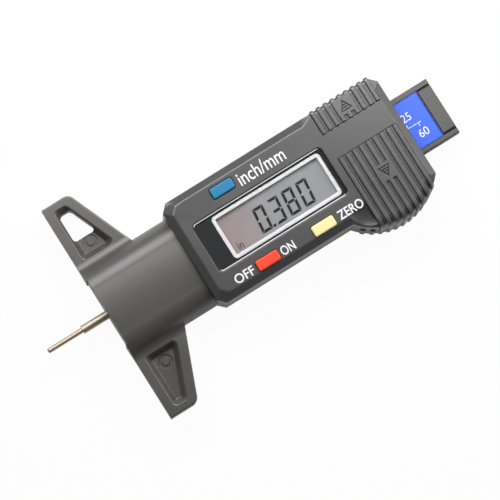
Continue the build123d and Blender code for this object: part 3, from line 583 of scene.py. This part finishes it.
def label_material():
    """Printed film, with painted shadow as a darker border along its edges."""
    colours = bpy.context.scene.gauge_colours
    far, side = high("scale_label").x, high("scale_label").y
    end_from, end_full, side_from, side_full = far - 0.5, far - 0.3, side - 0.3, side - 0.15

    def ground(tree):
        end = spread(tree, axis(tree, "X"), end_from * MM, end_full * MM)
        across = maths(tree, "ABSOLUTE", axis(tree, "Y"))
        edge = spread(tree, across, side_from * MM, side_full * MM)
        # Painted shadow: a darker band along the film's far end and its two sides.
        border = maths(tree, "MAXIMUM", end, edge)
        return blend(tree, border, tuple(colours.label), tuple(colours.label_edge_shadow))

    return finished("Label film", ground, 0.38, grain=0.0002, depth=0.3, relief=0.004, radius=0.03, worn=0.0,
                    patches=0.25)


def lens_glint_ground(tree):
    """Painted highlight on the rim of the lens: pale along its two long sides, with painted shade at its
    ends.
    """
    near, far = low("display_window").x, high("display_window").x
    pale_from, pale_full, dark_from, dark_full = near + 0.25, near + 0.7, far - 1.3, far - 0.5
    x = axis(tree, "X")
    begin = spread(tree, x, pale_from * MM, pale_full * MM, smooth=True)
    # Painted highlight along the long sides, fading to painted shade at both ends.
    painted_glint = blend(tree, begin, tone(60, 60, 60), tone(240, 240, 240))
    end = spread(tree, x, dark_from * MM, dark_full * MM, smooth=True)
    return blend(tree, end, painted_glint, tone(34, 34, 34))


def turned(tree):
    """Fine rings round the probe, as a height."""
    ring_scale, ring_depth = 2600.0, 0.04
    inputs = {"Vector": place(tree), "Scale": ring_scale, "Distortion": 0.4, "Detail": 1.0}
    rings = add(tree, "ShaderNodeTexWave", inputs, wave_type="BANDS", bands_direction="X")
    return maths(tree, "MULTIPLY", rings.outputs["Fac"], ring_depth)


def board_ground(tree):
    """Green solder mask with tracks that show through."""
    tracks = add(tree, "ShaderNodeTexBrick", {
        "Vector": place(tree), "Color1": (0, 0, 0), "Color2": (0.25, 0.25, 0.25), "Mortar": (1, 1, 1),
        "Scale": 1.0, "Mortar Size": 0.00022, "Brick Width": 0.006, "Row Height": 0.0011}, offset=0.37)
    mask = add(tree, "ShaderNodeSeparateColor", {0: tracks.outputs["Color"]}).outputs[0]
    return blend(tree, mask, tone(18, 74, 44), tone(42, 122, 70))


STRIP_PITCH = INCH / 20
ZEBRA_PITCH = 0.2


def strip_ground(tree):
    """The reading pattern: fine copper bars under green lacquer."""
    return stripes(tree, STRIP_PITCH, tone(24, 82, 52), tone(150, 120, 66))


def zebra_ground(tree):
    """Thin layers of carbon and clear rubber, side by side."""
    return stripes(tree, ZEBRA_PITCH, tone(36, 34, 34), tone(168, 150, 140))


def screw_material(name):
    """Zinc-plated steel."""
    return metal(name, 176, 176, 178, 0.32, grain=0.0002, depth=0.3, relief=0.006, radius=0.06, worn=0.2,
                 patches=0.6, patch_size=0.002)


# ---------------------------------------------------------------- operators


class GaugeOperator(bpy.types.Operator):
    """Base of the gauge's operators."""

    bl_options = {"REGISTER", "UNDO"}

    def execute(self, context):
        self.make(context.scene)
        return {"FINISHED"}


class GAUGE_OT_shells(GaugeOperator):
    """Finish the foot, barrel and tray, the upper shell and the back plate"""

    bl_idname = "gauge.shells"
    bl_label = "Shells"

    def make(self, scene):
        body, cover = tuple(scene.gauge_colours.body), tuple(scene.gauge_colours.cover)
        coat("base_frame", plastic("Body plastic", body, 0.38))
        coat("front_cover", plastic("Cover plastic", cover, 0.32, radius=0.35))
        coat("back_plate", plastic("Plate plastic", body, 0.5))
        coat("nose_plate", plastic("Nose plastic", body, 0.36))


class GAUGE_OT_covers(GaugeOperator):
    """Finish the two ribbed covers"""

    bl_idname = "gauge.covers"
    bl_label = "Ribbed covers"

    def make(self, scene):
        # The grooves between the ribs get strong painted shade.
        grip = plastic("Grip plastic", tuple(scene.gauge_colours.grip), 0.28, crevice_shade=1.0, reach=0.0006)
        for name in ("battery_cover", "port_cover"):
            coat(name, grip)


class GAUGE_OT_buttons(GaugeOperator):
    """Finish the three button caps"""

    bl_idname = "gauge.buttons"
    bl_label = "Buttons"

    def make(self, scene):
        for name in ("unit_button", "power_button", "zero_button"):
            tint = tuple(getattr(scene.gauge_colours, name))
            title = name.replace("_", " ").capitalize()
            material = finished(title, tint, 0.34, grain=0.0002, depth=0.2, relief=0.008, radius=0.25,
                                worn=0.06, patches=0.3, patch_size=0.003)
            coat(name, material)


SEGMENTS = {
    "0": "abcdef", "1": "bc", "2": "abged", "3": "abgcd", "4": "fgbc",
    "5": "afgcd", "6": "afgedc", "7": "abc", "8": "abcdefg", "9": "abcdfg",
}


def segment_outline(which, width, height, stroke):
    """One segment of a digit whose lower left corner is at the origin: a bar with mitred ends."""
    gap = 0.1 * stroke
    half, half_stroke = height / 2, stroke / 2
    inside = stroke + gap
    if which == "a":
        return [(gap, height), (width - gap, height), (width - inside, height - stroke),
                (inside, height - stroke)]
    if which == "d":
        return [(width - gap, 0), (gap, 0), (inside, stroke), (width - inside, stroke)]
    if which == "g":
        tip = gap + half_stroke
        return [(tip, half), (inside, half + half_stroke), (width - inside, half + half_stroke),
                (width - tip, half), (width - inside, half - half_stroke), (inside, half - half_stroke)]
    left, upper = which in "ef", which in "bf"
    outer = 0 if left else width
    inner = stroke if left else width - stroke
    low_outer = half + gap if upper else gap
    low_inner = half + half_stroke + gap if upper else inside
    high_outer = height - gap if upper else half - gap
    high_inner = height - inside if upper else half - half_stroke - gap
    return [(outer, low_outer), (inner, low_inner), (inner, high_inner), (outer, high_outer)]


def reading_outlines(marks, left, base):
    """Outlines of the lit segments of the reading, leaning to the right."""
    width, height = marks.digit_width / MM, marks.digit_height / MM
    stroke, pitch = marks.stroke / MM, marks.digit_pitch / MM
    lean = math.tan(marks.slant)
    outlines = []
    cell = 0
    for sign in marks.reading:
        if sign == ".":
            x = cell * pitch - (pitch - width) / 2 - stroke / 2
            shapes = [[(x, 0), (x + stroke, 0), (x + stroke, stroke), (x, stroke)]]
        elif sign in SEGMENTS:
            shapes = [segment_outline(which, width, height, stroke) for which in SEGMENTS[sign]]
            shapes = [[(x + cell * pitch, y) for x, y in shape] for shape in shapes]
            cell += 1
        else:
            raise ValueError(f"the display has no sign {sign!r}")
        for shape in shapes:
            outlines.append([(left + x + lean * y, base + y) for x, y in shape])
    return outlines


# How far above a surface its print starts and ends, in millimetres.
LIFT, PRINT_TOP = 0.002, 0.02
DIGIT_LIFT = 0.003
# The lens's print lies between these depths under the lens.
MASK_LOW, MASK_HIGH = 0.06, 0.01
# The outlines of the lens's print and of the painted highlight on its rim: how far in from the lens's side
# they lie, and how round their corners are.
LENS_BLACK = tone(30, 30, 30)
LENS_GAP, LENS_CORNER = 0.05, 1.1
GLINT_INSET, GLINT_CORNER = 0.28, 0.95
FRAME_CORNER = 0.9
# Places on the display, from its lower left corner, and the size of the unit sign.
READING_FROM_CORNER = (9.55, 2.3)
UNIT_SIGN_FROM_CORNER = (2.65, 2.0)
UNIT_SIGN_SIZE = (1.5, 1.9)


def lens_loop(inset, radius):
    """The outline of the lens, drawn in by an inset."""
    near, far = low("display_window"), high("display_window")
    return rounded_loop((near.x + inset, far.x - inset), (near.y + inset, far.y - inset), radius)


class GAUGE_OT_display(GaugeOperator):
    """Finish the lens, its printed mask, the white frame, the liquid crystal and its digits"""

    bl_idname = "gauge.display"
    bl_label = "Display"

    def make(self, scene):
        coat("display_window", glass_material())
        bezel = finished("Display frame", tuple(scene.gauge_colours.bezel), 0.4, grain=0.0002, depth=0.1,
                         relief=0.006, radius=0.15, worn=0.0, patches=0.15, Specular_IOR_Level=0.2)
        coat("display_frame", bezel)
        coat("lcd_panel", crystal_material())
        black = finished("Gasket", LENS_BLACK, 0.6, grain=0.0003, depth=0.4, relief=0.01, radius=0.03)
        coat("display_gasket", black)
        self.mask()
        self.edge()
        self.digits(scene)

    def mask(self):
        """The black print under the lens, from its rim to the white frame."""
        frame_low, frame_high = low("display_frame"), high("display_frame")
        inner = rounded_loop((frame_low.x, frame_high.x), (frame_low.y, frame_high.y), FRAME_CORNER)
        outer, under = lens_loop(LENS_GAP, LENS_CORNER), low("display_window").z
        mesh = raised_ring("lens_mask", outer, inner, under - MASK_LOW, under - MASK_HIGH)
        ink = finished("Lens print", LENS_BLACK, 0.4, grain=0.0002, depth=0.3, relief=0.003, radius=0.01,
                       **DULL)
        new_piece("lens_mask", mesh, ink, "housing")

    def edge(self):
        """A thin ring on the lens's rim that carries a painted highlight."""
        outer, inner = lens_loop(LENS_GAP, LENS_CORNER), lens_loop(GLINT_INSET, GLINT_CORNER)
        level = high("display_window").z
        mesh = raised_ring("lens_edge", outer, inner, level + LIFT, level + PRINT_TOP)
        glint = finished("Lens edge", lens_glint_ground, 0.2, grain=0.0002, depth=0.1, relief=0.001, radius=0.01,
                          worn=0.0)
        new_piece("lens_edge", mesh, glint, "housing")

    def digits(self, scene):
        """The reading and the small unit sign."""
        corner, top = low("lcd_panel"), high("lcd_panel").z
        base, roof = top + DIGIT_LIFT, top + PRINT_TOP
        ink = finished("Segments", tuple(scene.gauge_colours.segment), 0.4, grain=0.0002, depth=0.2,
                       relief=0.001, radius=0.01, worn=0.0, **DULL)
        left, lower = READING_FROM_CORNER
        outlines = reading_outlines(scene.gauge_marks, corner.x + left, corner.y + lower)
        mesh = raised_shapes("reading", outlines, base, roof)
        new_piece("reading", mesh, ink, "housing")
        left, lower = UNIT_SIGN_FROM_CORNER
        sign = ("in", corner.x + left, corner.y + lower, *UNIT_SIGN_SIZE)
        printed("unit_sign", [sign], base, ink, "housing")


# The words on the shell: how heavy their strokes are, and in millimetres their widths, the gaps from them to
# their buttons, and how far their feet lie under or over the buttons' lower edge.
UNIT_WEIGHT, CAPITAL_WEIGHT = 0.004, 0.015
UNIT_WIDTH, OFF_WIDTH, ON_WIDTH, ZERO_WIDTH = 12.9, 5.4, 3.8, 6.9
UNIT_GAP, OFF_GAP, ZERO_GAP = 0.6, 0.2, 0.5
UNIT_DROP, CAPITAL_RISE = 0.75, 0.25


class GAUGE_OT_legends(GaugeOperator):
    """Print the words beside the buttons"""

    bl_idname = "gauge.legends"
    bl_label = "Legends"

    def make(self, scene):
        marks = scene.gauge_marks
        ink = ink_material("Legend ink")
        level = high("front_cover").z + LIFT
        capital, line = marks.capital_height / MM, marks.small_height / MM
        base = low("power_button").y + CAPITAL_RISE
        unit_left = high("unit_button").x + UNIT_GAP
        unit_base = low("unit_button").y - UNIT_DROP
        off_left = low("power_button").x - OFF_GAP - OFF_WIDTH
        on_left = high("power_button").x
        zero_left = high("zero_button").x + ZERO_GAP
        rows = [
            ("legend_unit", UNIT_WEIGHT, "inch/mm", unit_left, unit_base, UNIT_WIDTH, line),
            ("legend_off", CAPITAL_WEIGHT, "OFF", off_left, base, OFF_WIDTH, capital),
            ("legend_on", CAPITAL_WEIGHT, "ON", on_left, base, ON_WIDTH, capital),
            ("legend_zero", CAPITAL_WEIGHT, "ZERO", zero_left, base, ZERO_WIDTH, capital),
        ]
        for name, weight, *item in rows:
            printed(name, [item], level, ink, "housing", weight)


# The label's scale, in millimetres: a line with ticks, inches above it and millimetres below it.
SCALE_MIDDLE, SCALE_LINE, SCALE_THICKNESS, TICK = -0.45, 0.16, 0.015, 0.9
SCALE_START, SCALE_END = 2, 3
NUMBER_HEIGHT, NUMBER_GAP = 2.1, 1.6


class GAUGE_OT_beam(GaugeOperator):
    """Finish the slide beam, its strip, its label and its end block"""

    bl_idname = "gauge.beam"
    bl_label = "Beam"

    def make(self, scene):
        # The beam's grooves get a little painted shade.
        body = plastic("Beam plastic", tuple(scene.gauge_colours.beam), 0.45, crevice_shade=0.2)
        coat("slide_beam", body)
        coat("beam_end_cap", body)
        coat("scale_strip", finished("Strip lacquer", strip_ground, 0.3, relief=0.003, worn=0.0))
        coat("scale_label", label_material())
        self.scale()

    def scale(self):
        """A line along the label, with inches on one side of it and millimetres on the other."""
        ink = ink_material("Label ink")
        near, far = low("scale_label"), high("scale_label")
        level = far.z + LIFT
        half_line = SCALE_LINE / 2
        start, end = near.x + SCALE_START, far.x - SCALE_END
        outlines = [upright((start, end), (SCALE_MIDDLE - half_line, SCALE_MIDDLE + half_line))]
        # Name, step in millimetres, form and unit of the numbers, width of one sign, tick, and base.
        rows = (
            ("inches", INCH / 4, "{:.2f}", 0.25, 1.05, (SCALE_MIDDLE, SCALE_MIDDLE + TICK),
             SCALE_MIDDLE + NUMBER_GAP),
            ("millimetres", 5.0, "{:.0f}", 5, 1.3, (SCALE_MIDDLE - TICK, SCALE_MIDDLE),
             SCALE_MIDDLE - NUMBER_GAP - NUMBER_HEIGHT),
        )
        for name, step, form, unit, sign_width, tick, base in rows:
            numbers = []
            for count in range(int((end - start) / step) + 1):
                x = start + count * step
                outlines.append(upright((x - half_line, x + half_line), tick))
                text = form.format(count * unit)
                width = sign_width * len(text)
                numbers.append((text, x - width / 2, base, width, NUMBER_HEIGHT))
            printed(f"scale_{name}", numbers, level, ink, "beam")
        mesh = raised_shapes("scale_ticks", outlines, level, level + SCALE_THICKNESS)
        new_piece("scale_ticks", mesh, ink, "beam")


class GAUGE_OT_probe(GaugeOperator):
    """Finish the probe and its set screw"""

    bl_idname = "gauge.probe"
    bl_label = "Probe"

    def make(self, scene):
        steel = finished("Probe steel", tuple(scene.gauge_colours.steel), 0.5, grain=0.0002, depth=0.2,
                         relief=0.006, radius=0.1, worn=0.0, patch_size=0.004, metallic=1.0, height=turned)
        coat("probe_pin", steel)
        coat("probe_set_screw", screw_material("Set screw steel"))


class GAUGE_OT_fixings(GaugeOperator):
    """Finish the screws, the drag spring and the bare label on the back"""

    bl_idname = "gauge.fixings"
    bl_label = "Fixings"

    def make(self, scene):
        screws = screw_material("Screw steel")
        for name in ("cover_screws", "plate_screws", "stop_screw", "board_screws"):
            coat(name, screws)
        coat("gib_spring", metal("Spring bronze", 190, 150, 96, 0.3, relief=0.004, radius=0.03))
        bare = finished("Bare label", tone(150, 150, 152), 0.45, grain=0.0002, depth=0.4, relief=0.005,
                        radius=0.03, worn=0.1)
        coat("back_label", bare)


class GAUGE_OT_electronics(GaugeOperator):
    """Finish the circuit board, its parts, the cell and its contacts"""

    bl_idname = "gauge.electronics"
    bl_label = "Electronics"

    def make(self, scene):
        board = finished("Solder mask", board_ground, 0.32, relief=0.004, radius=0.03, worn=0.0)
        resin = finished("Potting", tone(24, 24, 26), 0.25, depth=0.4, relief=0.01, radius=0.05, worn=0.05)
        zebra = finished("Zebra rubber", zebra_ground, 0.6, relief=0.006, radius=0.03, worn=0.0)
        rubber = finished("Dome rubber", tone(40, 40, 42), 0.55, relief=0.006, radius=0.05)
        gold = metal("Pad gold", 224, 178, 92, 0.25, relief=0.003, radius=0.02)
        nickel = metal("Contact nickel", 198, 192, 180, 0.26, relief=0.004, radius=0.03)
        cell = metal("Cell steel", 200, 200, 202, 0.22, grain=0.0004, depth=0.3, relief=0.004, radius=0.15,
                     worn=0.0)
        for name, material in (
            ("circuit_board", board), ("chip_blob", resin), ("zebra_strips", zebra), ("button_domes", rubber),
            ("port_pads", gold), ("battery_contact_plus", nickel), ("battery_contact_minus", nickel),
            ("button_cell", cell)
        ):
            coat(name, material)


# Azimuth and elevation of each lamp, in degrees.
BEARINGS = {"key": (46, 52), "fill": (104, 50), "low": (40, 20), "rim": (-8, 24)}
# CAMERA_BACK points from the gauge to the camera, and CAMERA_UP points up in the view.
CAMERA_BACK, CAMERA_UP = (-0.075, -0.0785, 1), (0.532, 0.847, 0)
SENSOR_WIDTH = 36
# In metres, what the camera sees.
CLIP_START, CLIP_END = 0.01, 20
FLOOR_HALF, FLOOR_DEPTH = 2000, 1


class GAUGE_OT_studio(GaugeOperator):
    """Set up the pale floor, the plain light and the camera"""

    bl_idname = "gauge.studio"
    bl_label = "Studio"

    def make(self, scene):
        studio = scene.gauge_studio
        self.floor(scene, studio)
        self.surround(scene, studio)
        middle = (CAD_LOW + CAD_HIGH) / 2
        target = Vector((middle.x + studio.aim[0], middle.y + studio.aim[1], 0))
        for name, bearing in BEARINGS.items():
            self.lamp(scene, studio, name, target, bearing)
        self.camera(scene, studio, target)
        scene.view_settings.view_transform = "Standard"

    def floor(self, scene, studio):
        """A floor that is seen as white and keeps a trace of the shadow."""
        span = (-FLOOR_HALF, FLOOR_HALF)
        base = CAD_LOW.z / MM
        material, tree, shader, output = new_material("Pale floor")
        feed(tree, shader.inputs["Base Color"], (0.9, 0.9, 0.9))
        feed(tree, shader.inputs["Roughness"], 0.9)
        glow = add(tree, "ShaderNodeEmission", {"Color": (1, 1, 1), "Strength": 1.0})
        amount = glow_share(tree, studio)
        mix = add(tree, "ShaderNodeMixShader", {0: amount, 1: shader.outputs[0], 2: glow.outputs[0]})
        tree.links.new(mix.outputs[0], output.inputs["Surface"])
        mesh = raised_shapes("floor", [upright(span, span)], base - FLOOR_DEPTH, base)
        mesh.materials.append(material)
        floor = bpy.data.objects.new("floor", mesh)
        scene.collection.objects.link(floor)

    def surround(self, scene, studio):
        """A dim, even world."""
        world = bpy.data.worlds.new("Surround")
        world.use_nodes = True
        scene.world = world
        tree = world.node_tree
        tree.nodes.clear()
        output = tree.nodes.new("ShaderNodeOutputWorld")
        light = add(tree, "ShaderNodeBackground", {"Color": (1, 1, 1), "Strength": studio.sky})
        tree.links.new(light.outputs[0], output.inputs["Surface"])

    def lamp(self, scene, studio, name, target, bearing):
        """A soft square lamp that looks at a point, from a bearing of azimuth and elevation in degrees."""
        data = bpy.data.lights.new(name.capitalize(), "AREA")
        data.size = studio.lamp_size
        data.energy = getattr(studio, name)
        azimuth, elevation = (math.radians(angle) for angle in bearing)
        level = math.cos(elevation)
        way = Vector((math.cos(azimuth) * level, math.sin(azimuth) * level, math.sin(elevation)))
        lamp = bpy.data.objects.new(data.name, data)
        scene.collection.objects.link(lamp)
        lamp.location = target + way * studio.lamp_distance
        lamp.rotation_mode = "QUATERNION"
        lamp.rotation_quaternion = (-way).to_track_quat("-Z", "Y")

    def camera(self, scene, studio, target):
        """A long lens above the display, turned so that the gauge lies across the view."""
        back = Vector(CAMERA_BACK).normalized()
        right = Vector(CAMERA_UP).cross(back).normalized()
        data = bpy.data.cameras.new("Camera")
        data.sensor_width = SENSOR_WIDTH
        data.lens = SENSOR_WIDTH * studio.distance / studio.view_width
        data.clip_start, data.clip_end = CLIP_START, CLIP_END
        camera = bpy.data.objects.new("Camera", data)
        scene.collection.objects.link(camera)
        turn = Matrix((right, back.cross(right), back)).transposed().to_4x4()
        camera.matrix_world = Matrix.Translation(target + back * studio.distance) @ turn
        scene.camera = camera


def glow_share(tree, studio):
    """How much of the plain white a ray sees.

    The camera sees most of it, and metal and glass show less. It lights nothing, so the gauge's shadow stays.
    """
    path = add(tree, "ShaderNodeLightPath")
    mirrored = maths(tree, "MAXIMUM", path.outputs["Is Glossy Ray"], path.outputs["Is Transmission Ray"])
    mirrored = maths(tree, "MULTIPLY", mirrored, studio.mirror_glow)
    seen = maths(tree, "MULTIPLY", path.outputs["Is Camera Ray"], studio.floor_glow)
    # The depth counts from 0, so this is 1 until the ray has left a matt surface.
    direct = maths(tree, "LESS_THAN", path.outputs["Diffuse Depth"], 0.5)
    return maths(tree, "MULTIPLY", maths(tree, "MAXIMUM", seen, mirrored), direct)


# ---------------------------------------------------------------- panel and registration

STEPS = (
    GAUGE_OT_shells, GAUGE_OT_covers, GAUGE_OT_buttons, GAUGE_OT_display, GAUGE_OT_legends, GAUGE_OT_beam,
    GAUGE_OT_probe, GAUGE_OT_fixings, GAUGE_OT_electronics, GAUGE_OT_studio,
)


class GAUGE_PT_panel(bpy.types.Panel):
    """Lists the steps of the finish."""

    bl_idname = "GAUGE_PT_panel"
    bl_label = "Tread gauge"
    bl_space_type = "VIEW_3D"
    bl_region_type = "UI"
    bl_category = "Gauge"

    def draw(self, context):
        for step in STEPS:
            self.layout.operator(step.bl_idname)
        for group in (context.scene.gauge_colours, context.scene.gauge_marks, context.scene.gauge_studio):
            for name in group.bl_rna.properties.keys():
                if name not in ("rna_type", "name"):
                    self.layout.prop(group, name)


SETTINGS = {"gauge_colours": GaugeColours, "gauge_marks": GaugeMarks, "gauge_studio": GaugeStudio}


def register():
    """Registers the classes and puts the settings on the scene."""
    for group in SETTINGS.values():
        bpy.utils.register_class(group)
    for step in (*STEPS, GAUGE_PT_panel):
        bpy.utils.register_class(step)
    for name, group in SETTINGS.items():
        setattr(bpy.types.Scene, name, PointerProperty(type=group))


def unregister():
    """Takes away what register added."""
    for name in SETTINGS:
        delattr(bpy.types.Scene, name)
    for step in (GAUGE_PT_panel, *reversed(STEPS)):
        bpy.utils.unregister_class(step)
    for group in SETTINGS.values():
        bpy.utils.unregister_class(group)


def main():
    """Registers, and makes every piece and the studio."""
    register()
    for step in STEPS:
        family, name = step.bl_idname.split(".")
        getattr(getattr(bpy.ops, family), name)()


if __name__ == "__main__":
    main()
